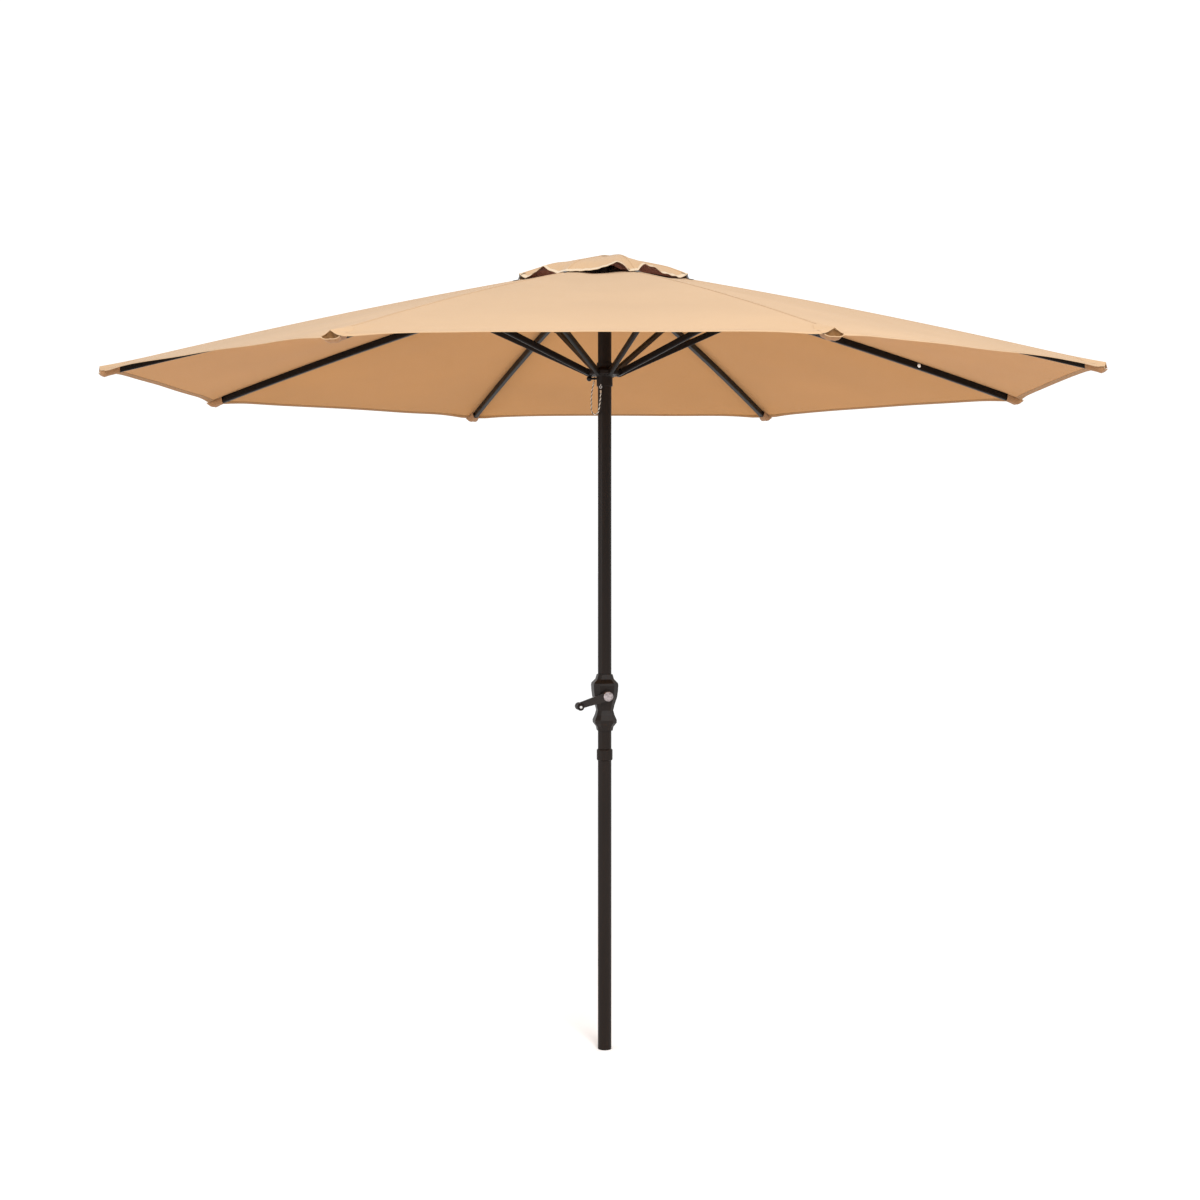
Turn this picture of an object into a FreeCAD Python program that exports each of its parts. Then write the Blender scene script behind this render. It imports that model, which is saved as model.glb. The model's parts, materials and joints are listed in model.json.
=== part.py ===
import FreeCAD, Part
import math
import os

# A centre-pole market umbrella: an eight-rib canopy with a vent cap, opened by a crank on
# a two-piece steel pole. It is drawn open. Millimetres, +Z up, origin at the centre of the
# pole's foot. Ribs stand at 22.5 degrees and every 45 degrees from there.

V = FreeCAD.Vector
ORIGIN = V(0, 0, 0)
UP = V(0, 0, 1)
ALONG_X = V(1, 0, 0)
ALONG_Y = V(0, 1, 0)

# ---- pole -------------------------------------------------------------------------------
POLE_R = 19.0
POLE_BORE_R = 17.8
NECK_R = 18.4            # both pole ends are turned down inside the collar
JOINT_Z = 821.5          # where the lower and the upper pole meet
POLE_TOP = 2178.0
PLUG_LIP = 5.0
PLUG_LENGTH = 34.0
COLLAR_R = 22.3
COLLAR_LOW, COLLAR_HIGH = 805.0, 838.0
COLLAR_CHAMFER = 3.0
SLEEVE_R, SLEEVE_BORE_R = 17.6, 16.4
SLEEVE_LOW, SLEEVE_HIGH = 745.0, 895.0
CORD_PORT_Z = 2122.0     # slot in the pole's back where the lift cord would come out

# ---- canopy -----------------------------------------------------------------------------
RIB_COUNT = 8
FIRST_RIB = 22.5
HALF_GORE = 22.5         # half the angle between two ribs
CANOPY_R = 1355.0        # corner of the canopy, over a rib's tip
CROWN_Z = 2188.0         # the ridge over a rib: z = crown - slope r - bow r^2
RIDGE_SLOPE = 0.2061
RIDGE_BOW = 2.89e-5
HOLE_R = 206.0           # corner of the hole under the vent cap
CLOTH = 0.9
SEAM_GAP = 0.2           # each panel stops this far short of its neighbour's plane
PANEL_STEPS = 10         # straight steps in a panel's curve, from the hole to the rim
VENT_RIDGE = [           # the vent cap over a rib, puffed up between its tied corners
    (22.0, 2211.0), (100.0, 2204.5), (190.0, 2184.5), (250.0, 2145.0),
]

# ---- ribs and struts --------------------------------------------------------------------
RIB_DEPTH, RIB_WIDTH, RIB_WALL, RIB_CORNER = 20.0, 14.0, 0.7, 3.0
RIB_DROP = 12.2          # rib centreline below the canopy's ridge
RIB_START_R, RIB_END_R, RIB_CAP_R = 54.0, 1336.0, 1346.0
HUB_PIVOT_R = 32.0
TONGUE_WIDTH, TONGUE_EYE_R, TONGUE_DEPTH, TONGUE_LENGTH = 10.0, 8.0, 15.0, 45.0
PIN_R = 2.5
RUNNING = 0.06           # radial clearance of a turning fit
STRUT_DEPTH, STRUT_WIDTH, STRUT_WALL, STRUT_CORNER = 17.0, 11.0, 0.7, 3.5
STRUT_EYE = 14.0         # each end fitting shows this much before the tube begins
STRUT_PLUG = 18.0        # and reaches this far into it
SADDLE_R = 435.0         # where on the rib the saddle sits
SADDLE_DROP = 22.0       # strut pivot below the rib's centreline
SADDLE_PLATE, SADDLE_HALF, SADDLE_WEB = 2.5, 20.0, 1.8
RIVET_AT = 13.0          # saddle rivets, each way along the rib

# ---- hub, cap and pulley ----------------------------------------------------------------
HUB_R, HUB_LOW, HUB_HIGH = 42.0, 2150.0, 2184.0
HUB_SLOT, HUB_SLOT_FLOOR = 10.8, 22.5
HUB_PIN_HALF = 10.5
CAP_FLANGE_R, CAP_STEM_R, CAP_TOP = 24.0, 13.0, 2208.6
FINIAL_R, FINIAL_LOW, FINIAL_TOP = 26.0, 2211.4, 2217.0
STUD_R = 5.0
PULLEY_Z, PULLEY_R, PULLEY_WIDTH = 2160.0, 14.5, 7.0
PULLEY_GROOVE_R, PULLEY_GROOVE_DEPTH = 2.0, 2.5

# ---- runner -----------------------------------------------------------------------------
RUNNER_BORE_R, RUNNER_R = 19.4, 22.3
RUNNER_LOW, RUNNER_HIGH = 1850.0, 1917.0
RUNNER_PIVOT_R, RUNNER_PIVOT_Z = 44.0, 1886.0
LOBE_R, LOBE_LOW, LOBE_HIGH = 50.0, 1880.5, 1896.0
LOBE_SLOT, LOBE_SLOT_FLOOR = 11.8, 29.0
STUB_LENGTH = 6.0

# ---- lock pin and its keeper cord -------------------------------------------------------
LOCK_Z = 1872.0
LOCK_R, LOCK_TIP_R, LOCK_BALL_R, LOCK_BALL_AT = 3.0, 19.7, 7.6, 43.0
LOCK_RING_R, LOCK_RING_FROM, LOCK_RING_TO = 4.6, 27.5, 30.0
EYE_AZIMUTH, EYE_AT_R, EYE_Z = 247.0, 25.6, 1846.5
EYE_R, EYE_WIRE_R = 3.4, 0.8
KEEPER_R = 1.7
KEEPER_ROUTE = [
    (-29.5, -0.3, 1865.3), (-32.5, -0.8, 1852.5), (-35.4, -2.6, 1836.5),
    (-36.9, -5.2, 1818.0), (-36.9, -7.8, 1799.0), (-36.1, -9.6, 1779.4),
    (-32.2, -12.3, 1772.9), (-25.8, -16.7, 1770.4), (-19.4, -21.1, 1772.9),
    (-15.5, -23.8, 1779.4), (-13.0, -25.0, 1796.0), (-11.0, -25.6, 1812.0),
    (-10.1, -25.3, 1826.0), (-10.0, -24.4, 1838.2),
]

# ---- crank ------------------------------------------------------------------------------
CRANK_AZIMUTH = -76.0
CRANK_Z = 988.0
SHAFT_R, SHAFT_BACK, SHAFT_FRONT = 5.0, -30.5, 50.0
SPOOL_R, SPOOL_DRUM_R, SPOOL_HALF, SPOOL_FLANGE = 13.0, 9.0, 10.0, 2.0
BUSH_R = 8.0
ARM_BACK, ARM_FRONT = 40.0, 48.0
ARM_HUB_R, ARM_HUB_FRONT, ARM_END_R = 15.0, 50.0, 10.5
ARM_LENGTH, ARM_DROOP = 86.0, 17.0
DISC_R, DISC_BACK, DISC_FRONT = 13.5, 50.2, 53.6
KNOB_BACK, KNOB_FRONT, KNOB_R, KNOB_WAIST_R = 48.6, 77.0, 10.2, 8.4
KNOB_PIN_R, KNOB_PIN_HEAD_R = 2.6, 3.6

# housing: half-width across the flats at each height, from the top down
FACET = 0.58             # half-width of a flat, as a share of the section's half-width
HOUSING = [
    (1046.0, 20.4), (1033.0, 23.8), (1022.0, 33.9), (1016.0, 35.0), (1000.0, 34.0),
    (983.0, 31.9), (961.0, 25.3), (946.0, 22.0), (933.0, 25.3), (919.0, 31.0),
    (911.0, 30.6), (900.0, 22.6), (889.0, 20.4),
]
SHELL = 3.0
CAVITY_SPANS = [(1032.0, 962.0), (930.0, 905.0)]
BOSS_R = 11.0
SCREW_R, SCREW_HEAD_R, SCREW_HEAD, SCREW_BOSS_R = 1.8, 3.4, 3.0, 4.4
SCREWS = [(25.0, 1008.0, 27.0), (24.2, 915.0, 24.0)]   # sideways, height, depth of head
SCREW_REACH = 10.0


# ---- shared shapes ----------------------------------------------------------------------
def rod(radius, start, direction, length):
    return Part.makeCylinder(radius, length, start, direction)


def ring(outer, inner, low, high):
    return rod(outer, V(0, 0, low), UP, high - low).cut(
        rod(inner, V(0, 0, low - 1), UP, high - low + 2)
    )


def turned(shape, azimuth):
    """A copy turned about the pole."""
    copy = shape.copy()
    copy.rotate(ORIGIN, UP, azimuth)
    return copy


def revolved(outline):
    """A body of revolution about Z from (r, z) points."""
    points = [V(r, 0, z) for r, z in outline]
    face = Part.Face(Part.makePolygon(points + points[:1]))
    return face.revolve(ORIGIN, UP, 360)


def rounded_section(width, depth, radius):
    """A rounded rectangle in the YZ plane: width along Y, depth along Z."""
    y, z = width / 2 - radius, depth / 2 - radius
    corners = [(y, z), (-y, z), (-y, -z), (y, -z)]
    edges, ends = [], []
    for n, (cy, cz) in enumerate(corners):
        at = [math.radians(90 * n + a) for a in (0, 45, 90)]
        points = [V(0, cy + radius * math.cos(a), cz + radius * math.sin(a)) for a in at]
        edges.append(Part.Arc(*points).toShape())
        ends.append((points[0], points[2]))
    for n in range(4):
        edges.append(Part.LineSegment(ends[n][1], ends[(n + 1) % 4][0]).toShape())
    return Part.Face(Part.Wire(Part.__sortEdges__(edges)))


def across(radius, x, z, low, high):
    """A rod along Y from y = low to y = high."""
    return rod(radius, V(x, low, z), ALONG_Y, high - low)


def plate(points, low, high):
    """A plate from (x, z) points, between y = low and y = high."""
    corners = [V(x, low, z) for x, z in points]
    return Part.Face(Part.makePolygon(corners + corners[:1])).extrude(V(0, high - low, 0))


def group(shapes):
    return Part.makeCompound(shapes)


def ridge_z(r):
    """Height of the canopy's top surface over a rib."""
    return CROWN_Z - RIDGE_SLOPE * r - RIDGE_BOW * r * r


# ---- the linkage, in a rib's own plane (x outward, z up) --------------------------------
def rib_centre_z(r):
    return ridge_z(r) - RIB_DROP


def circle_through(a, b, c):
    """Centre and radius of the circle through three (x, z) points."""
    (ax, az), (bx, bz), (cx, cz) = a, b, c
    d = 2 * (ax * (bz - cz) + bx * (cz - az) + cx * (az - bz))
    a2, b2, c2 = ax * ax + az * az, bx * bx + bz * bz, cx * cx + cz * cz
    x = (a2 * (bz - cz) + b2 * (cz - az) + c2 * (az - bz)) / d
    z = (a2 * (cx - bx) + b2 * (ax - cx) + c2 * (bx - ax)) / d
    return x, z, math.hypot(ax - x, az - z)


HUB_PIVOT_Z = rib_centre_z(HUB_PIVOT_R)
RIB_MIDDLE_R = (HUB_PIVOT_R + RIB_CAP_R) / 2
BEND_X, BEND_Z, BEND_R = circle_through(
    *[(r, rib_centre_z(r)) for r in (HUB_PIVOT_R, RIB_MIDDLE_R, RIB_CAP_R)]
)


def bend_angle(r):
    """Angle on the rib's arc, in degrees from straight up, at radius r from the pole."""
    return math.degrees(math.asin((r - BEND_X) / BEND_R))


def on_rib(r, below=0.0):
    """The (x, z) point at radius r on the centreline, moved square to the rib."""
    a = math.radians(bend_angle(r))
    reach = BEND_R - below
    return BEND_X + reach * math.sin(a), BEND_Z + reach * math.cos(a)


def along_rib(section, r_from, r_to):
    """A section swept along the rib's arc."""
    centre = V(BEND_X, 0, BEND_Z)
    face = section.copy()
    face.translate(V(BEND_X, 0, BEND_Z + BEND_R))
    face.rotate(centre, ALONG_Y, bend_angle(r_from))
    return face.revolve(centre, ALONG_Y, bend_angle(r_to) - bend_angle(r_from))


SADDLE_X, SADDLE_Z = on_rib(SADDLE_R, SADDLE_DROP)
STRUT_RISE = math.degrees(
    math.atan2(SADDLE_Z - RUNNER_PIVOT_Z, SADDLE_X - RUNNER_PIVOT_R)
)
STRUT_LENGTH = math.hypot(SADDLE_Z - RUNNER_PIVOT_Z, SADDLE_X - RUNNER_PIVOT_R)


# ---- pole -------------------------------------------------------------------------------
def crank_frame(shape):
    """Place a shape built along +X at the crank's height, pointing along the crank's axis."""
    copy = shape.copy()
    copy.translate(V(0, 0, CRANK_Z))
    return turned(copy, CRANK_AZIMUTH)


def lower_pole():
    return revolved([
        (POLE_BORE_R, PLUG_LIP), (POLE_R, PLUG_LIP), (POLE_R, COLLAR_LOW),
        (NECK_R, COLLAR_LOW), (NECK_R, JOINT_Z - 0.2), (POLE_BORE_R, JOINT_Z - 0.2),
    ])


def foot_plug():
    lip = ring(POLE_R, POLE_R - 8, 0, PLUG_LIP)
    lip = lip.fuse(rod(POLE_R - 8, V(0, 0, 1.5), UP, PLUG_LIP - 1.5))
    plug = ring(POLE_BORE_R - 0.1, POLE_BORE_R - 3, PLUG_LIP, PLUG_LENGTH)
    return lip.fuse(plug).removeSplitter()


def upper_pole():
    pole = revolved([
        (POLE_BORE_R, JOINT_Z), (NECK_R, JOINT_Z), (NECK_R, COLLAR_HIGH),
        (POLE_R, COLLAR_HIGH), (POLE_R, POLE_TOP), (POLE_BORE_R, POLE_TOP),
    ])
    pole = pole.cut(crank_frame(rod(SHAFT_R + 1.2, V(-30, 0, 0), ALONG_X, 60)))
    pole = pole.cut(rod(PIN_R, V(-30, 0, PULLEY_Z), ALONG_X, 60))
    pole = pole.cut(rod(LOCK_R + 0.3, V(-30, 0, LOCK_Z), ALONG_X, 15))
    port = Part.makeBox(8, 20, 18, V(-4, 8, CORD_PORT_Z))
    return pole.cut(port)


def pole_collar():
    bore = NECK_R + 0.1
    return revolved([
        (bore, COLLAR_LOW + 0.2), (COLLAR_R - COLLAR_CHAMFER, COLLAR_LOW + 0.2),
        (COLLAR_R, COLLAR_LOW + COLLAR_CHAMFER), (COLLAR_R, COLLAR_HIGH - COLLAR_CHAMFER),
        (COLLAR_R - COLLAR_CHAMFER, COLLAR_HIGH - 0.2), (bore, COLLAR_HIGH - 0.2),
    ])


def joint_sleeve():
    return ring(SLEEVE_R, SLEEVE_BORE_R, SLEEVE_LOW, SLEEVE_HIGH)


# ---- hub, cap, pulley -------------------------------------------------------------------
def spread(shape):
    """The shape repeated at every rib."""
    return [turned(shape, FIRST_RIB + 360 / RIB_COUNT * n) for n in range(RIB_COUNT)]


def hub_pin():
    return across(PIN_R, HUB_PIVOT_R, HUB_PIVOT_Z, -HUB_PIN_HALF, HUB_PIN_HALF)


def top_hub():
    hub = revolved([
        (POLE_R + 0.05, HUB_LOW), (HUB_R - 3, HUB_LOW), (HUB_R, HUB_LOW + 3),
        (HUB_R, HUB_HIGH - 6), (HUB_R - 10, HUB_HIGH), (STUD_R + 0.1, HUB_HIGH),
        (STUD_R + 0.1, POLE_TOP + 0.3), (POLE_R + 0.05, POLE_TOP + 0.3),
    ])
    length = HUB_R
    slot = Part.makeBox(
        length, HUB_SLOT, HUB_HIGH - HUB_LOW + 2, V(HUB_SLOT_FLOOR, -HUB_SLOT / 2, HUB_LOW - 1)
    )
    return hub.cut(spread(slot)).cut(spread(hub_pin()))


def top_cap():
    return revolved([
        (STUD_R + 0.05, HUB_HIGH), (CAP_STEM_R + 5, HUB_HIGH), (CAP_STEM_R, HUB_HIGH + 6),
        (CAP_STEM_R, CAP_TOP - 8), (CAP_FLANGE_R, CAP_TOP - 3), (CAP_FLANGE_R, CAP_TOP),
        (STUD_R + 0.05, CAP_TOP),
    ])


def finial():
    stud = rod(STUD_R, V(0, 0, POLE_TOP + 1), UP, FINIAL_LOW - POLE_TOP)
    height = FINIAL_TOP - FINIAL_LOW
    radius = (FINIAL_R ** 2 + height ** 2) / (2 * height)
    ball = Part.makeSphere(radius, V(0, 0, FINIAL_TOP - radius))
    dome = ball.common(rod(FINIAL_R + 1, V(0, 0, FINIAL_LOW), UP, 2 * height))
    return dome.fuse(stud)


def pulley_pin():
    return rod(PIN_R, V(-18.8, 0, PULLEY_Z), ALONG_X, 37.6)


def pulley():
    half = PULLEY_WIDTH / 2
    wheel = rod(PULLEY_R, V(-half, 0, PULLEY_Z), ALONG_X, PULLEY_WIDTH)
    groove = Part.makeTorus(
        PULLEY_R - PULLEY_GROOVE_DEPTH + PULLEY_GROOVE_R, PULLEY_GROOVE_R,
        V(0, 0, PULLEY_Z), ALONG_X,
    )
    return wheel.cut(groove).cut(rod(PIN_R + RUNNING, V(-half - 1, 0, PULLEY_Z), ALONG_X, 20))


# ---- ribs -------------------------------------------------------------------------------
def rivet_places():
    slope = math.radians(bend_angle(SADDLE_R))
    x, z = on_rib(SADDLE_R)
    return [(x + s * RIVET_AT * math.cos(slope), z - s * RIVET_AT * math.sin(slope))
            for s in (-1, 1)]


def rib():
    outer = rounded_section(RIB_WIDTH, RIB_DEPTH, RIB_CORNER)
    inner = rounded_section(
        RIB_WIDTH - 2 * RIB_WALL, RIB_DEPTH - 2 * RIB_WALL, RIB_CORNER - RIB_WALL
    )
    tube = along_rib(outer, RIB_START_R, RIB_END_R)
    tube = tube.cut(along_rib(inner, RIB_START_R - 5, RIB_END_R + 5))
    for x, z in rivet_places():
        tube = tube.cut(across(PIN_R + 0.02, x, z, -RIB_WIDTH, RIB_WIDTH))
    return tube


def rib_tongue():
    half = TONGUE_WIDTH / 2
    slope = bend_angle(HUB_PIVOT_R)
    bar = Part.makeBox(TONGUE_LENGTH, TONGUE_WIDTH, TONGUE_DEPTH, V(0, -half, -TONGUE_DEPTH / 2))
    bar.rotate(ORIGIN, ALONG_Y, slope)
    bar.translate(V(HUB_PIVOT_R, 0, HUB_PIVOT_Z))
    tongue = bar.fuse(across(TONGUE_EYE_R, HUB_PIVOT_R, HUB_PIVOT_Z, -half, half))
    return tongue.cut(across(PIN_R + RUNNING, HUB_PIVOT_R, HUB_PIVOT_Z, -half - 1, half + 1))


def rib_tip_cap():
    clear = 2 * RIB_WALL + 0.3
    plug = rounded_section(RIB_WIDTH - clear, RIB_DEPTH - clear, RIB_CORNER - RIB_WALL)
    head = rounded_section(RIB_WIDTH, RIB_DEPTH, RIB_CORNER)
    return along_rib(plug, RIB_END_R - 20, RIB_END_R + 1).fuse(
        along_rib(head, RIB_END_R + 0.1, RIB_CAP_R)
    )


def rib_frame(shape):
    """Place a shape built about the origin, x along the rib, at the saddle."""
    x, z = on_rib(SADDLE_R)
    shape.rotate(ORIGIN, ALONG_Y, bend_angle(SADDLE_R))
    shape.translate(V(x, 0, z))
    return shape


def rib_saddle():
    inner = RIB_WIDTH / 2 + 0.15
    side = [(-SADDLE_HALF, 4), (SADDLE_HALF, 4), (SADDLE_HALF, -12), (9, -SADDLE_DROP),
            (-9, -SADDLE_DROP), (-SADDLE_HALF, -12)]
    parts = []
    for low in (inner, -inner - SADDLE_PLATE):
        parts.append(plate(side, low, low + SADDLE_PLATE))
        parts.append(across(9.0, 0, -SADDLE_DROP, low, low + SADDLE_PLATE))
    web_top = -RIB_DEPTH / 2 - 0.3
    web = Part.makeBox(2 * SADDLE_HALF, 2 * inner, SADDLE_WEB,
                       V(-SADDLE_HALF, -inner, web_top - SADDLE_WEB))
    saddle = rib_frame(web.fuse(parts).removeSplitter())
    for x, z in rivet_places():
        saddle = saddle.cut(across(PIN_R + 0.02, x, z, -20, 20))
    return saddle.cut(across(PIN_R + 0.02, SADDLE_X, SADDLE_Z, -20, 20))


def headed_rivet(x, z):
    reach = RIB_WIDTH / 2 + 0.15 + SADDLE_PLATE + 0.05
    shank = across(PIN_R, x, z, -reach, reach)
    heads = [across(4.2, x, z, reach, reach + 1.8), across(4.2, x, z, -reach - 1.8, -reach)]
    return shank.fuse(heads)


def rib_fittings():
    rivets = [headed_rivet(x, z) for x, z in rivet_places()]
    return group([rib_tongue(), rib_tip_cap(), rib_saddle(), *rivets,
                  headed_rivet(SADDLE_X, SADDLE_Z)])


# ---- struts -----------------------------------------------------------------------------
def strut_place(shape):
    """From the runner pivot at the origin, x along the strut, to its place."""
    shape.rotate(ORIGIN, ALONG_Y, -STRUT_RISE)
    shape.translate(V(RUNNER_PIVOT_R, 0, RUNNER_PIVOT_Z))
    return shape


def strut_tube():
    outer = rounded_section(STRUT_WIDTH, STRUT_DEPTH, STRUT_CORNER)
    inner = rounded_section(
        STRUT_WIDTH - 2 * STRUT_WALL, STRUT_DEPTH - 2 * STRUT_WALL, STRUT_CORNER - STRUT_WALL
    )
    length = STRUT_LENGTH - 2 * STRUT_EYE
    tube = outer.extrude(V(length, 0, 0)).cut(inner.extrude(V(length, 0, 0)))
    tube.translate(V(STRUT_EYE, 0, 0))
    return strut_place(tube)


def strut_end(at, towards):
    """An eye at one end, with a plug that fills the end of the tube."""
    half = STRUT_WIDTH / 2
    reach = STRUT_EYE - 0.1
    eye = across(STRUT_DEPTH / 2, at, 0, -half, half)
    start = at if towards > 0 else at - reach
    neck = Part.makeBox(reach, STRUT_WIDTH, STRUT_DEPTH, V(start, -half, -STRUT_DEPTH / 2))
    clear = 2 * STRUT_WALL + 0.3
    section = rounded_section(STRUT_WIDTH - clear, STRUT_DEPTH - clear, STRUT_CORNER - STRUT_WALL)
    plug = section.extrude(V(towards * (STRUT_PLUG + 1), 0, 0))
    plug.translate(V(at + towards * (reach - 1), 0, 0))
    body = eye.fuse([neck, plug])
    return strut_place(body.cut(across(PIN_R + RUNNING, at, 0, -half - 1, half + 1)))


def strut():
    return group([strut_tube(), strut_end(0, 1), strut_end(STRUT_LENGTH, -1)])


# ---- canopy -----------------------------------------------------------------------------
def panel(stations):
    """Cloth over one rib, out to the middle of the gore each side, from (r, z) on the rib."""
    half = math.radians(HALF_GORE)
    tops = []
    for r, z in stations:
        share = 1 - SEAM_GAP / (r * math.sin(half))
        x = r - share * r * math.sin(half) ** 2
        y = share * r * math.sin(half) * math.cos(half)
        tops.append([V(x, -y, z), V(r, 0, z), V(x, y, z)])
    drop = V(0, 0, -CLOTH)
    faces = []

    def face(*points):
        faces.append(Part.Face(Part.makePolygon([*points, points[0]])))

    for a, b in zip(tops, tops[1:]):
        for n in (0, 1):
            face(a[n], b[n], b[n + 1], a[n + 1])
            face(*[p + drop for p in (a[n], b[n], b[n + 1], a[n + 1])])
        for n in (0, 2):
            face(a[n], b[n], b[n] + drop, a[n] + drop)
    for row in (tops[0], tops[-1]):
        for n in (0, 1):
            face(row[n], row[n + 1], row[n + 1] + drop, row[n] + drop)
    return Part.Solid(Part.Shell(faces))


def canopy_panel():
    step = (CANOPY_R - HOLE_R) / PANEL_STEPS
    radii = [HOLE_R + step * k for k in range(PANEL_STEPS + 1)]
    main = panel([(r, ridge_z(r)) for r in radii])
    return group([main, panel(VENT_RIDGE)])


# ---- runner and lock pin ----------------------------------------------------------------
def stub(side):
    low = LOBE_SLOT / 2 if side > 0 else -LOBE_SLOT / 2 - STUB_LENGTH
    return across(PIN_R, RUNNER_PIVOT_R, RUNNER_PIVOT_Z, low, low + STUB_LENGTH)


def runner():
    body = revolved([
        (RUNNER_BORE_R, RUNNER_LOW), (RUNNER_R - 1, RUNNER_LOW), (RUNNER_R, RUNNER_LOW + 1),
        (RUNNER_R, LOBE_LOW - 4), (RUNNER_R + 4, LOBE_LOW), (LOBE_R - 2, LOBE_LOW),
        (LOBE_R, LOBE_LOW + 2), (LOBE_R, LOBE_HIGH - 4), (LOBE_R - 4, LOBE_HIGH),
        (RUNNER_R + 8, LOBE_HIGH), (RUNNER_R, LOBE_HIGH + 8), (RUNNER_R, RUNNER_HIGH - 2),
        (RUNNER_R - 2, RUNNER_HIGH), (RUNNER_BORE_R, RUNNER_HIGH),
    ])
    slot = Part.makeBox(
        LOBE_R, LOBE_SLOT, 40, V(LOBE_SLOT_FLOOR, -LOBE_SLOT / 2, RUNNER_PIVOT_Z - 20)
    )
    body = body.cut(spread(slot))
    body = body.cut(spread(stub(1)) + spread(stub(-1)))
    body = body.cut(rod(LOCK_R + 0.15, V(-30, 0, LOCK_Z), ALONG_X, 20))
    return body.cut(turned(eye_shank(), EYE_AZIMUTH))


def runner_rivets():
    return group(spread(stub(1)) + spread(stub(-1)))


def eye_shank():
    start = V(RUNNER_R - 1.4, 0, RUNNER_LOW + 4)
    return rod(EYE_WIRE_R, start, ALONG_X, EYE_AT_R - RUNNER_R + 1.4)


def cord_eye():
    """A small screw eye in the runner's skirt, with its ring below the skirt's edge."""
    loop = Part.makeTorus(EYE_R, EYE_WIRE_R, V(EYE_AT_R, 0, EYE_Z), ALONG_X)
    drop = RUNNER_LOW + 4 - (EYE_Z + EYE_R)
    stem = rod(EYE_WIRE_R, V(EYE_AT_R, 0, EYE_Z + EYE_R), UP, drop)
    return turned(loop.fuse([stem, eye_shank()]), EYE_AZIMUTH)


def lock_pin():
    outward = V(-1, 0, 0)
    shank = rod(LOCK_R, V(-LOCK_TIP_R, 0, LOCK_Z), outward, LOCK_BALL_AT - LOCK_TIP_R)
    keeper = rod(LOCK_RING_R, V(-LOCK_RING_FROM, 0, LOCK_Z), outward,
                 LOCK_RING_TO - LOCK_RING_FROM)
    ball = Part.makeSphere(LOCK_BALL_R, V(-LOCK_BALL_AT, 0, LOCK_Z))
    return shank.fuse([keeper, ball])


def keeper_cord():
    """A tube of straight runs joined by tangent arcs."""
    points = [V(*p) for p in KEEPER_ROUTE]
    edges, start, length = [], points[0], 0.0
    for a, b, c in zip(points, points[1:], points[2:]):
        before, after = (b - a), (c - b)
        turn = before.getAngle(after)
        radius = 0.45 * min(before.Length, after.Length) / math.tan(turn / 2)
        cut = radius * math.tan(turn / 2)
        back, on = V(before).normalize(), V(after).normalize()
        enter, leave = b - back * cut, b + on * cut
        inward = (on - back).normalize()
        middle = b + inward * (radius / math.cos(turn / 2) - radius)
        edges.append(Part.LineSegment(start, enter).toShape())
        edges.append(Part.Arc(enter, middle, leave).toShape())
        length += (enter - start).Length + radius * turn
        print(f"keeper cord: arc radius {radius:.1f}")
        start = leave
    edges.append(Part.LineSegment(start, points[-1]).toShape())
    length += (points[-1] - start).Length
    path = Part.Wire(edges)
    section = Part.Wire(Part.makeCircle(KEEPER_R, points[0], points[1] - points[0]))
    tube = path.makePipeShell([section], True, False)
    expected = math.pi * KEEPER_R ** 2 * length
    print(f"keeper cord: length {length:.1f}, volume {tube.Volume:.1f} of {expected:.1f}")
    return tube


# ---- crank ------------------------------------------------------------------------------
def octagon(half, z, offset=0.0):
    h = half - offset
    f = half * FACET - 0.4 * offset
    points = [(h, f), (f, h), (-f, h), (-h, f), (-h, -f), (-f, -h), (f, -h), (h, -f)]
    corners = [V(x, y, z) for x, y in points]
    return Part.makePolygon(corners + corners[:1])


def half_width(z):
    """Half-width of the housing at a height, between its stations."""
    for (high, a), (low, b) in zip(HOUSING, HOUSING[1:]):
        if low <= z <= high:
            return b + (a - b) * (z - low) / (high - low)
    return HOUSING[-1][1]


def cavity(high, low):
    levels = [high] + [z for z, _ in HOUSING if low < z < high] + [low]
    return Part.makeLoft([octagon(half_width(z), z, SHELL) for z in levels], True, True)


def screw_spots():
    return [(side * y, z, head) for y, z, head in SCREWS for side in (-1, 1)]


def housing_screw(y, z, head):
    shank = rod(SCREW_R, V(-head, y, z), ALONG_X, head + SCREW_REACH)
    return shank.fuse(rod(SCREW_HEAD_R, V(-head - SCREW_HEAD, y, z), ALONG_X, SCREW_HEAD))


def housing_screws():
    return turned(group([housing_screw(*spot) for spot in screw_spots()]), CRANK_AZIMUTH)


def housing_body():
    """The whole housing in the crank's frame, x along the crank's axis, before it is split."""
    outer = Part.makeLoft([octagon(h, z) for z, h in HOUSING], True, True)
    body = outer.cut([cavity(*span) for span in CAVITY_SPANS])
    bosses = [rod(BOSS_R, V(-33, 0, CRANK_Z), ALONG_X, 66)]
    for y, z, _ in screw_spots():
        bosses.append(rod(SCREW_BOSS_R, V(-40, y, z), ALONG_X, 55))
    filled = bosses[0].fuse(bosses[1:]).common(outer)
    nose = rod(ARM_HUB_R + 1.5, V(20, 0, CRANK_Z), ALONG_X, 17.5)
    nose = nose.cut(rod(BUSH_R, V(0, 0, CRANK_Z), ALONG_X, 60))
    body = body.fuse([filled, nose])
    body = body.cut(ring_space())
    body = body.cut(rod(BUSH_R, V(-28, 0, CRANK_Z), ALONG_X, 90))
    for y, z, head in screw_spots():
        body = body.cut(housing_screw(y, z, head))
        body = body.cut(rod(SCREW_HEAD_R, V(-head - 20, y, z), ALONG_X, 20))
    return body


def ring_space():
    """The pole's own space inside the housing."""
    return rod(POLE_R + 0.05, V(0, 0, 800), UP, 400)


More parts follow.
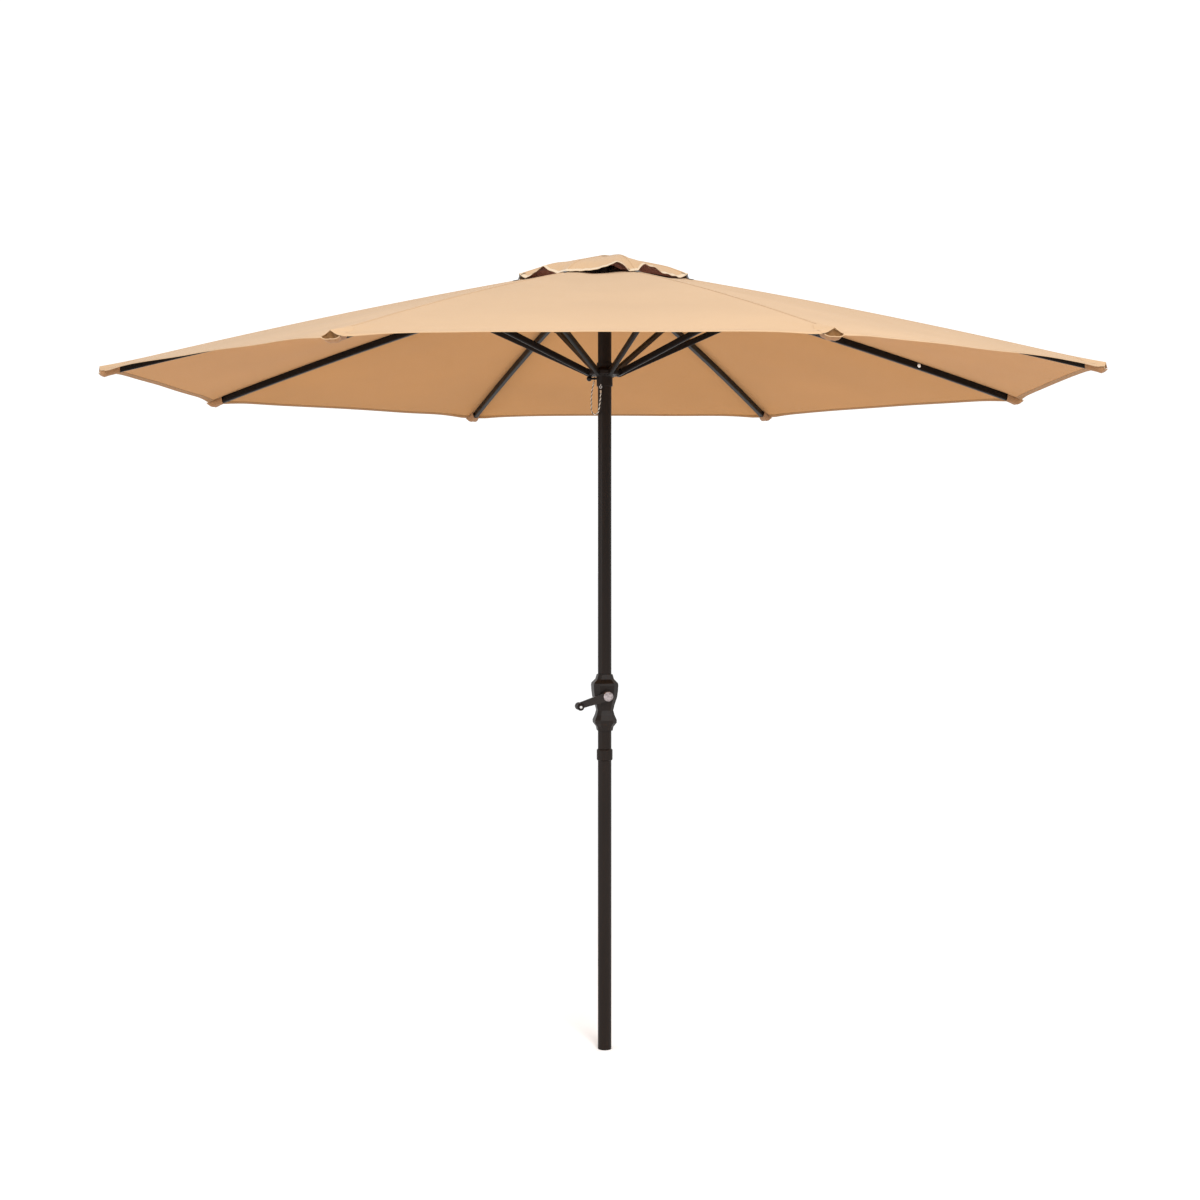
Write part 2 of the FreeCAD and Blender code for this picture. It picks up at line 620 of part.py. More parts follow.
def housing_half(front):
    block = Part.makeBox(100, 200, 300, V(0.05 if front else -100.05, -100, 850))
    half = housing_body().common(block)
    return turned(half, CRANK_AZIMUTH)


def bush(start, length):
    outer = rod(BUSH_R, V(start, 0, 0), ALONG_X, length)
    return outer.cut(rod(SHAFT_R + RUNNING, V(start - 1, 0, 0), ALONG_X, length + 2))


def crank_bushes():
    return crank_frame(group([bush(20.5, 17.0), bush(-28, 7.5)]))


def crank_shaft():
    return crank_frame(rod(SHAFT_R, V(-27.7, 0, 0), ALONG_X, SHAFT_FRONT + 27.7))


def cord_spool():
    flange = SPOOL_HALF - SPOOL_FLANGE
    drum = rod(SPOOL_DRUM_R, V(-SPOOL_HALF, 0, 0), ALONG_X, 2 * SPOOL_HALF)
    flanges = [rod(SPOOL_R, V(x, 0, 0), ALONG_X, SPOOL_FLANGE) for x in (-SPOOL_HALF, flange)]
    return crank_frame(drum.fuse(flanges).cut(rod(SHAFT_R, V(-20, 0, 0), ALONG_X, 40)))


def arm_end():
    """The arm's far end in the crank's frame: (y, z) from the shaft."""
    droop = math.radians(ARM_DROOP)
    return -ARM_LENGTH * math.cos(droop), -ARM_LENGTH * math.sin(droop)


def crank_arm():
    y, z = arm_end()
    hub = rod(ARM_HUB_R, V(ARM_BACK - 2, 0, 0), ALONG_X, ARM_HUB_FRONT - ARM_BACK + 2)
    end = rod(ARM_END_R, V(ARM_BACK, y, z), ALONG_X, ARM_FRONT - ARM_BACK)
    lean = math.atan2(z, y)
    side = V(0, -math.sin(lean), math.cos(lean))
    near, far = side * (ARM_HUB_R - 2.5), side * (ARM_END_R - 2.0)
    at = V(ARM_BACK, 0, 0)
    tip = V(ARM_BACK, y, z)
    web = Part.Face(Part.makePolygon([at + near, tip + far, tip - far, at - near, at + near]))
    arm = hub.fuse([end, web.extrude(V(ARM_FRONT - ARM_BACK, 0, 0))])
    arm = arm.cut(rod(SHAFT_R, V(0, 0, 0), ALONG_X, 80))
    return crank_frame(arm.cut(rod(KNOB_PIN_R, V(0, y, z), ALONG_X, 80)))


def crank_disc():
    disc = rod(DISC_R, V(DISC_BACK, 0, 0), ALONG_X, DISC_FRONT - DISC_BACK)
    rim = [e for e in disc.Edges if abs(e.BoundBox.XMin - DISC_FRONT) < 0.01]
    return crank_frame(disc.makeChamfer(1.4, rim[:1]))


def knob_pin():
    y, z = arm_end()
    shank = rod(KNOB_PIN_R, V(ARM_BACK + 0.5, y, z), ALONG_X, KNOB_FRONT - ARM_BACK)
    head = rod(KNOB_PIN_HEAD_R, V(KNOB_FRONT + 0.5, y, z), ALONG_X, 1.6)
    return crank_frame(shank.fuse(head))


def crank_knob():
    y, z = arm_end()
    middle = (KNOB_BACK + KNOB_FRONT) / 2
    outline = [
        (KNOB_PIN_R + RUNNING, KNOB_BACK), (KNOB_R - 1.5, KNOB_BACK), (KNOB_R, KNOB_BACK + 2),
        (KNOB_WAIST_R, middle), (KNOB_R, KNOB_FRONT - 3), (KNOB_R - 2.5, KNOB_FRONT),
        (KNOB_PIN_R + RUNNING, KNOB_FRONT),
    ]
    knob = revolved(outline)
    knob.rotate(ORIGIN, ALONG_Y, 90)
    knob.translate(V(0, y, z))
    return crank_frame(knob)


# ---- what is kept -----------------------------------------------------------------------
SINGLE = {
    "lower_pole": lower_pole, "foot_plug": foot_plug, "upper_pole": upper_pole,
    "pole_collar": pole_collar, "joint_sleeve": joint_sleeve, "top_hub": top_hub,
    "top_cap": top_cap, "finial": finial, "pulley_pin": pulley_pin, "pulley": pulley,
    "runner": runner, "runner_rivets": runner_rivets, "cord_eye": cord_eye,
    "lock_pin": lock_pin, "keeper_cord": keeper_cord, "housing_screws": housing_screws,
    "crank_bushes": crank_bushes, "crank_shaft": crank_shaft, "cord_spool": cord_spool,
    "crank_arm": crank_arm, "crank_disc": crank_disc, "knob_pin": knob_pin,
    "crank_knob": crank_knob,
}
PER_RIB = {"rib": rib, "rib_fittings": rib_fittings, "strut": strut, "canopy_panel": canopy_panel}

os.makedirs("parts", exist_ok=True)
nodes = {name: make() for name, make in SINGLE.items()}
nodes["hub_pins"] = group(spread(hub_pin()))
nodes["crank_housing_front"] = housing_half(True)
nodes["crank_housing_rear"] = housing_half(False)
for name, make in PER_RIB.items():
    for number, shape in enumerate(spread(make()), 1):
        nodes[f"{name}_{number}"] = shape
for name, shape in nodes.items():
    shape.exportStep(f"parts/{name}.step")
    if not shape.isValid():
        print(f"{name} is not valid")
print(f"{len(nodes)} nodes; strut length {STRUT_LENGTH:.2f}, strut rise {STRUT_RISE:.3f}")
print(f"hub pivot {HUB_PIVOT_R}, {HUB_PIVOT_Z:.3f}; saddle pivot {SADDLE_X:.3f}, {SADDLE_Z:.3f}")
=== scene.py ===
import json
import math

import bmesh
import bpy
from mathutils import Matrix, Vector, noise


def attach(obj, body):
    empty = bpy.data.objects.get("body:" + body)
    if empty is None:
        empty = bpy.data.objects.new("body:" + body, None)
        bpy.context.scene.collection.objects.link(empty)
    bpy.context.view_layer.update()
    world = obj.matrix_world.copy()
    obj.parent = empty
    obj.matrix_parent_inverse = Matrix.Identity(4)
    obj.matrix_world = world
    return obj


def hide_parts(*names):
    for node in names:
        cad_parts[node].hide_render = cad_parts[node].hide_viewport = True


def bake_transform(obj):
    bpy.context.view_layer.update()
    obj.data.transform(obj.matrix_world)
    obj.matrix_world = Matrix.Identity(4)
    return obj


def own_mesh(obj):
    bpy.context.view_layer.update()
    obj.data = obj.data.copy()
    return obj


# A centre-pole market umbrella, open: the metal and plastic pieces are the CAD nodes with
# their own finishes, and the canopy, the vent cap, the pockets at the rib tips, a snap and the
# lock pin's keeper cord are made here. Metres, +Z up, origin at the centre of the pole's foot.
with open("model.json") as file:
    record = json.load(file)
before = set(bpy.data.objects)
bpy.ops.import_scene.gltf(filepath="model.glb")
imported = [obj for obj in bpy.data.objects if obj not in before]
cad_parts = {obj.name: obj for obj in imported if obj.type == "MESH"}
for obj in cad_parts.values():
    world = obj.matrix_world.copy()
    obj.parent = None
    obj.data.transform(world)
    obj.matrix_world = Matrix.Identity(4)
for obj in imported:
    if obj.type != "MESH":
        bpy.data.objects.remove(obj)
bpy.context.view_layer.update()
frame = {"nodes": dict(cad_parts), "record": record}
nodes = frame["nodes"]

# ---- sizes ------------------------------------------------------------------------------
RIBS = 8
RIB_STEP = math.radians(45.0)
FIRST_RIB = math.radians(22.5)
HALF_GORE = math.radians(22.5)
SIN, COS, TAN = math.sin(HALF_GORE), math.cos(HALF_GORE), math.tan(HALF_GORE)

RIM_R, HOLE_R = 1.355, 0.206           # corners of the canopy and of the hole under the vent
CROWN_Z, SLOPE, BOW = 2.188, 0.2061, 0.0289
MID_BOW = 0.4                          # how much of the ribs' bow is left at mid-gore
HOLE_SAG, HOLE_SAG_REACH = 0.006, 0.08
MAIN_RIPPLE, VENT_RIPPLE = (0.0035, 5.0), (0.004, 12.0)   # height, waves in a metre
PULL, PULL_REACH, PULL_RAYS = 0.0014, 0.10, 7   # creases that fan out from a rib's tip
TENT_FROM = 1.22
TENT_PEAK, TENT_PEAK_WIDTH = 0.0045, 0.014
TENT_DROP, TENT_DROP_WIDTH = 0.0065, 0.030
CLOTH = 0.0007
HEM, HEM_STITCHES = 0.016, 0.78         # its width, and where its stitches are in it
HEM_THICKER = (0.0001, 0.0010)         # how much thicker the cloth is there: above, below
SEAM_WIDTH, TAPE_WIDTH = 0.0090, 0.0400
SEAM_FROM, SEAM_TO, SEAM_STITCHES = -0.0001, 0.0008, 0.0031   # heights, rows either side
UNDER_TAPE = (-CLOTH - 0.0006, -CLOTH - 0.0001)  # its underside and top, from the cloth's top

VENT_R, VENT_CLAMP_R, CROWN_R = 0.250, 0.018, 0.080
VENT_ARCH_FROM = 0.12
BINDING = 0.010
BINDING_THICKER = (0.0006, 0.0006)
VENT_RIDGE = [
    (0.018, 2.2106), (0.030, 2.2098), (0.060, 2.2040), (0.100, 2.1950), (0.150, 2.1830),
    (0.190, 2.1715), (0.222, 2.1560), (0.250, 2.1388),
]
VENT_MIDDLE = [
    (0.018, 2.2106), (0.030, 2.2096), (0.060, 2.2030), (0.100, 2.1940), (0.150, 2.1835),
    (0.190, 2.1745), (0.222, 2.1640), (0.250, 2.1520),
]
# each gore's arch at the vent's edge, from the gore after the first rib: where it starts,
# peaks and ends between the ribs, how much higher it stands than the middle above, how full
# it is on either side, and how far the cloth sinks above it
VENT_ARCHES = [
    (0.08, 0.42, 0.94, 0.007, 1.2, 1.7, 0.002), (0.05, 0.60, 0.90, 0.010, 0.9, 1.5, 0.004),
    (0.12, 0.50, 0.92, 0.005, 1.6, 1.1, 0.000), (0.04, 0.36, 0.88, 0.009, 1.7, 0.9, 0.003),
    (0.14, 0.52, 0.84, 0.010, 1.0, 1.0, 0.000), (0.16, 0.70, 0.88, 0.011, 0.60, 2.0, 0.001),
    (0.02, 0.17, 0.82, 0.009, 1.8, 0.75, 0.010), (0.10, 0.55, 0.95, 0.008, 1.1, 1.6, 0.002),
]
CORNER_LIFTS = [0.003, 0.005, 0.002, 0.004, 0.014, 0.000, 0.000, 0.011]
BILLOW, BILLOW_AT = 0.010, math.radians(-68.0)   # the cap stands a little higher on one side

POCKET_FROM, POCKET_TO, PATCH_FROM = 1.308, 1.357, 1.286
POCKET_HALF, POCKET_DEPTH, MOUTH_DEPTH = 0.023, 0.0212, 0.0115
POCKET_CLOTH, POCKET_NARROW = 0.0009, 0.53   # how thick, and how wide at its inner end
TIP_END = 1.3468                       # just past the end of the rib's tip

# distances from a rib for the closed canopy; VENT_FOLD also sizes the tape under the vent's seam
VENT_FOLD, VENT_KEEP = 0.0280, 0.130

TIE_HALF, TIE_THICK = 0.007, 0.0009    # the tab that ties a vent corner down
SNAP_AT = 1.001                        # how far from the pole the snap is

KEEPER_DIAMETER, KEEPER_LENGTH, KEEPER_PITCH = 0.0034, 0.1777, 0.0125
KEEPER_ROUTE = [
    (-0.0295, -0.0003, 1.8653), (-0.0325, -0.0008, 1.8525), (-0.0354, -0.0026, 1.8365),
    (-0.0369, -0.0052, 1.8180), (-0.0369, -0.0078, 1.7990), (-0.0361, -0.0096, 1.7794),
    (-0.0322, -0.0123, 1.7729), (-0.0258, -0.0167, 1.7704), (-0.0194, -0.0211, 1.7729),
    (-0.0155, -0.0238, 1.7794), (-0.0130, -0.0250, 1.7960), (-0.0110, -0.0256, 1.8120),
    (-0.0101, -0.0253, 1.8260), (-0.0100, -0.0244, 1.8382),
]


# ---- materials --------------------------------------------------------------------------
class Finish:
    """One procedural material: a Principled shader with nodes added in front of it."""

    def __init__(self, name, **sockets):
        self.material = bpy.data.materials.new(name)
        self.material.use_nodes = True
        self.tree = self.material.node_tree
        self.tree.nodes.clear()
        output = self.tree.nodes.new("ShaderNodeOutputMaterial")
        self.shader = self.tree.nodes.new("ShaderNodeBsdfPrincipled")
        self.tree.links.new(self.shader.outputs["BSDF"], output.inputs["Surface"])
        for key, value in sockets.items():
            self.shader.inputs[key.replace("_", " ")].default_value = value

    def node(self, kind, result, inputs=(), **settings):
        """Adds a node and gives its output: inputs are (socket, value or output) pairs."""
        made = self.tree.nodes.new("ShaderNode" + kind)
        for key, value in settings.items():
            setattr(made, key, value)
        for socket, value in inputs:
            if isinstance(value, bpy.types.NodeSocket):
                self.tree.links.new(value, made.inputs[socket])
            else:
                made.inputs[socket].default_value = value
        return made.outputs[result]

    def place(self, stretch=(1, 1, 1), source="Object"):
        at = self.node("TexCoord", source)
        return self.node("Mapping", "Vector", [("Vector", at), ("Scale", stretch)])

    def noise(self, place, scale, detail=3.0, roughness=0.55):
        inputs = [("Vector", place), ("Scale", scale), ("Detail", detail)]
        return self.node("TexNoise", "Fac", inputs + [("Roughness", roughness)])

    def wave(self, place, length, direction, distortion=0.0):
        inputs = [("Vector", place), ("Scale", 0.314 / length), ("Distortion", distortion)]
        return self.node("TexWave", "Fac", inputs, bands_direction=direction)

    def math(self, operation, a, b):
        return self.node("Math", 0, [(0, a), (1, b)], operation=operation)

    def ramp(self, value, low, high, colors):
        """Colour between two values of an input: colors are the ends, as (r, g, b)."""
        made = self.tree.nodes.new("ShaderNodeValToRGB")
        self.tree.links.new(value, made.inputs["Fac"])
        for stop, at, color in zip(made.color_ramp.elements, (low, high), colors):
            stop.position = at
            stop.color = (*color, 1.0)
        return made.outputs["Color"]

    def span(self, value, low, high):
        """Maps 0 to 1 onto low to high."""
        inputs = [("Value", value), ("To Min", low), ("To Max", high)]
        return self.node("MapRange", "Result", inputs)

    def color(self, output):
        self.tree.links.new(output, self.shader.inputs["Base Color"])

    def rough(self, output):
        self.tree.links.new(output, self.shader.inputs["Roughness"])

    def bump(self, layers):
        """Stacks bumps: layers are (height, strength, distance in metres)."""
        normal = None
        for height, strength, distance in layers:
            inputs = [("Height", height), ("Strength", strength), ("Distance", distance)]
            if normal is not None:
                inputs.append(("Normal", normal))
            normal = self.node("Bump", "Normal", inputs)
        self.tree.links.new(normal, self.shader.inputs["Normal"])


def shade(color, factor):
    return tuple(min(1.0, channel * factor) for channel in color)


def cloth(name, color, weave=0.0009, sheen=0.08):
    """Plain-woven polyester: threads both ways, uneven yarn and faint creases."""
    made = Finish(name, Sheen_Weight=sheen, Sheen_Roughness=0.6, Specular_IOR_Level=0.25)
    flat = made.place(source="UV")
    warp = made.wave(flat, weave, "X", 0.15)
    weft = made.wave(flat, weave, "Y", 0.15)
    threads = made.math("MULTIPLY", warp, weft)
    yarn = made.noise(made.place((900, 24, 1), "UV"), 1.0, 2.0)
    clouds = made.noise(made.place(), 2.6, 4.0)
    creases = made.noise(made.place((1, 1, 3)), 7.0, 3.0, 0.45)
    mixed = made.math("ADD", made.math("MULTIPLY", yarn, 0.35), clouds)
    mixed = made.math("ADD", mixed, made.math("MULTIPLY", threads, 0.18))
    made.color(made.ramp(mixed, 0.35, 1.05, [shade(color, 0.92), shade(color, 1.06)]))
    made.rough(made.span(yarn, 0.78, 0.95))
    made.bump([(creases, 0.22, 0.004), (yarn, 0.15, 0.0003), (threads, 0.5, 0.0002)])
    return made.material


def webbing(name, color, rib=0.0014):
    """Binding tape and thread: ribbed across, with worn high spots."""
    made = Finish(name, Sheen_Weight=0.3, Sheen_Roughness=0.5, Specular_IOR_Level=0.3)
    flat = made.place(source="UV")
    ribs = made.wave(flat, rib, "X", 0.6)
    fuzz = made.noise(made.place(), 380.0, 3.0)
    made.color(made.ramp(made.math("MULTIPLY", ribs, fuzz), 0.0, 0.7,
                         [shade(color, 0.86), shade(color, 1.05)]))
    made.rough(made.span(fuzz, 0.75, 0.95))
    made.bump([(fuzz, 0.3, 0.0003), (ribs, 0.5, 0.0004)])
    return made.material


def powder_coat(name, color, rough=0.36):
    """Baked paint on steel tube: orange peel, fine flecks and a little handling wear."""
    made = Finish(name, Coat_Weight=0.03, Coat_Roughness=0.22, Specular_IOR_Level=0.12)
    peel = made.noise(made.place(), 420.0, 2.0)
    flecks = made.noise(made.place(), 1500.0, 2.0)
    wear = made.noise(made.place((1, 1, 0.25)), 9.0, 5.0, 0.6)
    made.color(made.ramp(made.math("ADD", wear, made.math("MULTIPLY", flecks, 0.25)),
                         0.4, 0.95, [shade(color, 0.85), shade(color, 1.3)]))
    made.rough(made.span(made.math("ADD", wear, peel), rough - 0.06, rough + 0.08))
    made.bump([(peel, 0.12, 0.0004), (flecks, 0.06, 0.0002)])
    return made.material


def moulded(name, color, rough=0.45, gloss=0.16):
    """Injection-moulded plastic with a spark-eroded grain and faint flow marks."""
    made = Finish(name, Specular_IOR_Level=gloss)
    grain = made.noise(made.place(), 1100.0, 3.0, 0.6)
    flow = made.noise(made.place((1, 1, 2.5)), 22.0, 3.0)
    made.color(made.ramp(flow, 0.3, 0.75, [shade(color, 0.88), shade(color, 1.18)]))
    made.rough(made.span(made.math("MULTIPLY", grain, flow), rough - 0.05, rough + 0.25))
    made.bump([(flow, 0.05, 0.0008), (grain, 0.22, 0.0002)])
    return made.material


def metal(name, color, rough=0.28, uneven=0.10):
    """Plated steel with short brush marks and small dings."""
    made = Finish(name, Metallic=1.0)
    marks = made.noise(made.place((1, 1, 40)), 90.0, 3.0)
    dings = made.noise(made.place(), 160.0, 4.0)
    ends = [shade(color, 1 - 1.5 * uneven), shade(color, 1 + uneven)]
    made.color(made.ramp(dings, 0.35, 0.65, ends))
    made.rough(made.span(made.math("ADD", marks, dings), rough - 0.12, rough + 0.14))
    made.bump([(dings, 0.08, 0.0003), (marks, 0.12, 0.0001)])
    return made.material


def floor_finish():
    made = Finish("studio_floor", Specular_IOR_Level=0.2)
    mottle = made.noise(made.place(), 0.8, 3.0)
    made.color(made.ramp(mottle, 0.3, 0.7, [(0.94, 0.94, 0.94), (0.96, 0.96, 0.96)]))
    made.rough(made.span(mottle, 0.75, 0.9))
    made.bump([(mottle, 0.05, 0.002)])
    return made.material


TAN_TOP = (0.432, 0.280, 0.155)
# the canopy's underside: the same cloth as its top, painted darker and more orange as painted
# shade, with the warm light through the cloth painted in
TAN_UNDER_SHADED = (0.408, 0.188, 0.052)
# painted shade: the pockets' outside is the canopy's cloth painted darker
POCKET_TAN_SHADED = (0.270, 0.135, 0.058)
# painted shade: the vent cap's underside is painted dark red-brown for the shade under the cap
VENT_SHADE_MAROON = (0.140, 0.036, 0.015)
CREAM = (0.560, 0.430, 0.290)
ESPRESSO = (0.0100, 0.0062, 0.0045)
BLACK = (0.0045, 0.0036, 0.0030)
HUB_BROWN = (0.0075, 0.0038, 0.0026)

canopy_top = cloth("canopy_top", TAN_TOP)
# painted shade: the underside of the canopy cloth
canopy_under_shaded = cloth("canopy_under_shaded", TAN_UNDER_SHADED)
# painted shade: the hem's underside is painted darker still, for the shade of its doubled cloth
canopy_hem_shaded = cloth("canopy_hem_shaded", shade(TAN_UNDER_SHADED, 0.66))
# painted shade: the underside of the vent cap
vent_inside_shaded = cloth("vent_inside_shaded", VENT_SHADE_MAROON, sheen=0.0)
# painted shade: the outside of the rib pockets
pocket_cloth_shaded = cloth("pocket_cloth_shaded", POCKET_TAN_SHADED, 0.0012)
# painted shade: the inside of each pocket and its tucked-in end are the underside's cloth painted
# darker still
pocket_inside_shaded = cloth("pocket_inside_shaded", shade(TAN_UNDER_SHADED, 0.40), 0.0012)
binding = webbing("vent_binding", CREAM)
thread = webbing("sewing_thread", shade(TAN_TOP, 1.08), 0.0004)
FINISHES = {
    "pole_paint": powder_coat("pole_paint", ESPRESSO),
    "rib_paint": powder_coat("rib_paint", shade(ESPRESSO, 0.62)),
    "rib_black": moulded("rib_black", BLACK, 0.38),
    "housing_plastic": moulded("housing_plastic", shade(ESPRESSO, 0.95), 0.40),
    "hub_plastic": moulded("hub_plastic", HUB_BROWN),
    "plated_steel": metal("plated_steel", (0.62, 0.60, 0.58)),
    "bright_disc": metal("bright_disc", (0.31, 0.27, 0.27), 0.36, 0.34),
    "pin_black": moulded("pin_black", BLACK, 0.30),
    "keeper_twine": webbing("keeper_light", (0.80, 0.74, 0.64), 0.0007),
    "canopy_cloth": canopy_top,
}
keeper_dark = webbing("keeper_dark", (0.045, 0.032, 0.026), 0.0007)
# painted highlight: the crank arm's plastic is painted lighter than the housing's so the arm reads
# as lit; its higher gloss is its own
arm_plastic_highlit = moulded("arm_plastic_highlit", shade(ESPRESSO, 1.2), 0.26, 0.26)
snap_white = moulded("snap_white", (0.80, 0.78, 0.74), 0.35)
tie_elastic = webbing("tie_elastic", BLACK, 0.0008)


# ---- mesh building ----------------------------------------------------------------------
class Builder:
    """Collects the vertices, faces, materials and cloth coordinates of one mesh."""

    def __init__(self):
        self.points, self.flat, self.faces, self.slots = [], [], [], []

    def vertex(self, point, flat=(0.0, 0.0)):
        self.points.append(Vector(point))
        self.flat.append(flat)
        return len(self.points) - 1

    def face(self, corners, slot=0):
        self.faces.append(tuple(corners))
        self.slots.append(slot)

    def skin(self, rows, slot=0):
        """Quads between rows of vertex numbers."""
        for a, b in zip(rows, rows[1:]):
            for i in range(len(a) - 1):
                self.face((a[i], a[i + 1], b[i + 1], b[i]), slot)

    def slab(self, upper, lower, slots=(0, 1), edge=None):
        """A thin closed solid between two matching grids of (point, flat) rows."""
        top = [[self.vertex(*p) for p in row] for row in upper]
        low = [[self.vertex(*p) for p in row] for row in lower]
        edge = slots[0] if edge is None else edge
        self.skin(top, slots[0])
        self.skin(low, slots[1])
        self.skin([top[0], low[0]], edge)
        self.skin([top[-1], low[-1]], edge)
        for side in (0, -1):
            self.skin([[row[side] for row in top], [row[side] for row in low]], edge)

    def stitch(self, at, along, up, size=(0.0030, 0.00055, 0.00030), slot=0):
        """One stitch: a thread that dips into the cloth at both ends."""
        length, width, height = size
        across = along.cross(up).normalized()
        rows = []
        for share, rise in ((-0.5, -0.3), (-0.25, 0.7), (0.25, 0.7), (0.5, -0.3)):
            centre = at + along * (share * length)
            rows.append([
                self.vertex(centre + up * (height * rise) + across * (width * 0.5)),
                self.vertex(centre + up * (height * (rise + 0.6))),
                self.vertex(centre + up * (height * rise) - across * (width * 0.5)),
            ])
        for a, b in zip(rows, rows[1:]):
            for i in range(3):
                j = (i + 1) % 3
                self.face((a[i], a[j], b[j], b[i]), slot)
        self.face(rows[0], slot)
        self.face(rows[-1], slot)

    def stitches(self, line, up, pitch=0.0046, slot=0):
        """A row of stitches along a list of points; up is the side that they lie on."""
        left = pitch * 0.5
        for a, b in zip(line, line[1:]):
            span = (b - a).length
            along = (b - a) / span
            while left < span:
                self.stitch(a + along * left, along, up, slot=slot)
                left += pitch
            left -= span

    def tube(self, line, radius, slot=0, sides=8):
        """A round tube along a list of points."""
        rings, normal = [], None
        for i, at in enumerate(line):
            before, after = line[max(i - 1, 0)], line[min(i + 1, len(line) - 1)]
            along = (after - before).normalized()
            if normal is None:
                normal = along.orthogonal().normalized()
            normal = (normal - along * normal.dot(along)).normalized()
            other = along.cross(normal)
            rings.append([
                self.vertex(at + (normal * math.cos(a) + other * math.sin(a)) * radius)
                for a in (2 * math.pi * k / sides for k in range(sides))
            ])
        for a, b in zip(rings, rings[1:]):
            for k in range(sides):
                j = (k + 1) % sides
                self.face((a[k], a[j], b[j], b[k]), slot)
        self.face(rings[0], slot)
        self.face(rings[-1], slot)

    def finish(self, name, materials, turn=0.0, sharp=40.0):
        """Makes the object, turned about the pole."""
        mesh = bpy.data.meshes.new(name)
        mesh.from_pydata(self.points, [], self.faces)
        for face, slot in zip(mesh.polygons, self.slots):
            face.material_index = slot
            face.use_smooth = True
        layer = mesh.uv_layers.new(name="UVMap")
        for loop in mesh.loops:
            layer.data[loop.index].uv = self.flat[loop.vertex_index]
        work = bmesh.new()
        work.from_mesh(mesh)
        bmesh.ops.recalc_face_normals(work, faces=work.faces)
        work.to_mesh(mesh)
        work.free()
        mesh.transform(Matrix.Rotation(turn, 4, "Z"))
        mesh.set_sharp_from_angle(angle=math.radians(sharp))
        for material in materials:
            mesh.materials.append(material)
        made = bpy.data.objects.new(name, mesh)
        bpy.context.collection.objects.link(made)
        return made


def spaced(low, high, count):
    return [low + (high - low) * k / count for k in range(count + 1)]


def through(stations, r):
    """Smooth value at r through (r, value) stations."""
    r = min(max(r, stations[0][0]), stations[-1][0])
    for k in range(len(stations) - 1):
        (a, u), (b, v) = stations[k], stations[k + 1]
        if r <= b:
            before = stations[max(k - 1, 0)]
            after = stations[min(k + 2, len(stations) - 1)]
            slope_a = (v - before[1]) / (b - before[0])
            slope_b = (after[1] - u) / (after[0] - a)
            s = (r - a) / (b - a)
            rise = (b - a) * (slope_a * s * (1 - s) ** 2 - slope_b * s * s * (1 - s))
            return u + (v - u) * s * s * (3 - 2 * s) + rise
    return stations[-1][1]


# ---- the canopy's shape, in a rib's own frame: x outward, y to its left ------------------
def turn_of(number):
    return FIRST_RIB + RIB_STEP * (number - 1)


def ridge_z(r):
    return CROWN_Z - SLOPE * r - BOW * r * r


def ripple(number, side, r, t, size, fine):
    """Soft unevenness of stretched cloth; it fades out over the ribs."""
    angle = turn_of(number) + side * math.atan2(t * SIN * COS, 1 - t * SIN * SIN)
    at = Vector((math.cos(angle) * fine, math.sin(angle) * fine, r * fine * 0.35))
    fade = min(1.0, 3.0 * t)
    return size * noise.noise(at) * fade * fade


def tip_tent(r, aside):
    """At the corners the cloth peaks over the rib's tip and drops away beside it."""
    near = min(max((r - TENT_FROM) / (RIM_R - TENT_FROM), 0.0), 1.0) ** 2
    peak = TENT_PEAK * math.exp(-(aside / TENT_PEAK_WIDTH) ** 2)
    out = aside / TENT_DROP_WIDTH
    drop = TENT_DROP * out * math.exp(1.0 - out)
    return near * (peak - drop)


def main_z(number, side, r, t):
    """Height of the canopy's top. r is the radius of its point on the ribs; t is 0 over the
    rib and 1 at mid-gore."""
    share = (r - HOLE_R) / (RIM_R - HOLE_R)
    chord = ridge_z(HOLE_R) * (1 - share) + ridge_z(RIM_R) * share
    over_rib = (1 - t) ** 2
    bow = (ridge_z(r) - chord) * (MID_BOW + (1 - MID_BOW) * over_rib)
    sag = HOLE_SAG * (1 - over_rib) * math.exp(-(r - HOLE_R) / HOLE_SAG_REACH)
    along, aside = RIM_R - r, r * t * SIN * COS
    reach = math.hypot(along, aside)
    rays = math.sin(PULL_RAYS * math.atan2(aside, along + 0.001))
    pull = PULL * math.exp(-reach / PULL_REACH) * rays
    pull *= min(1.0, aside / 0.02)
    pull += tip_tent(r, aside)
    return chord + bow - sag + pull + ripple(number, side, r, t, *MAIN_RIPPLE)


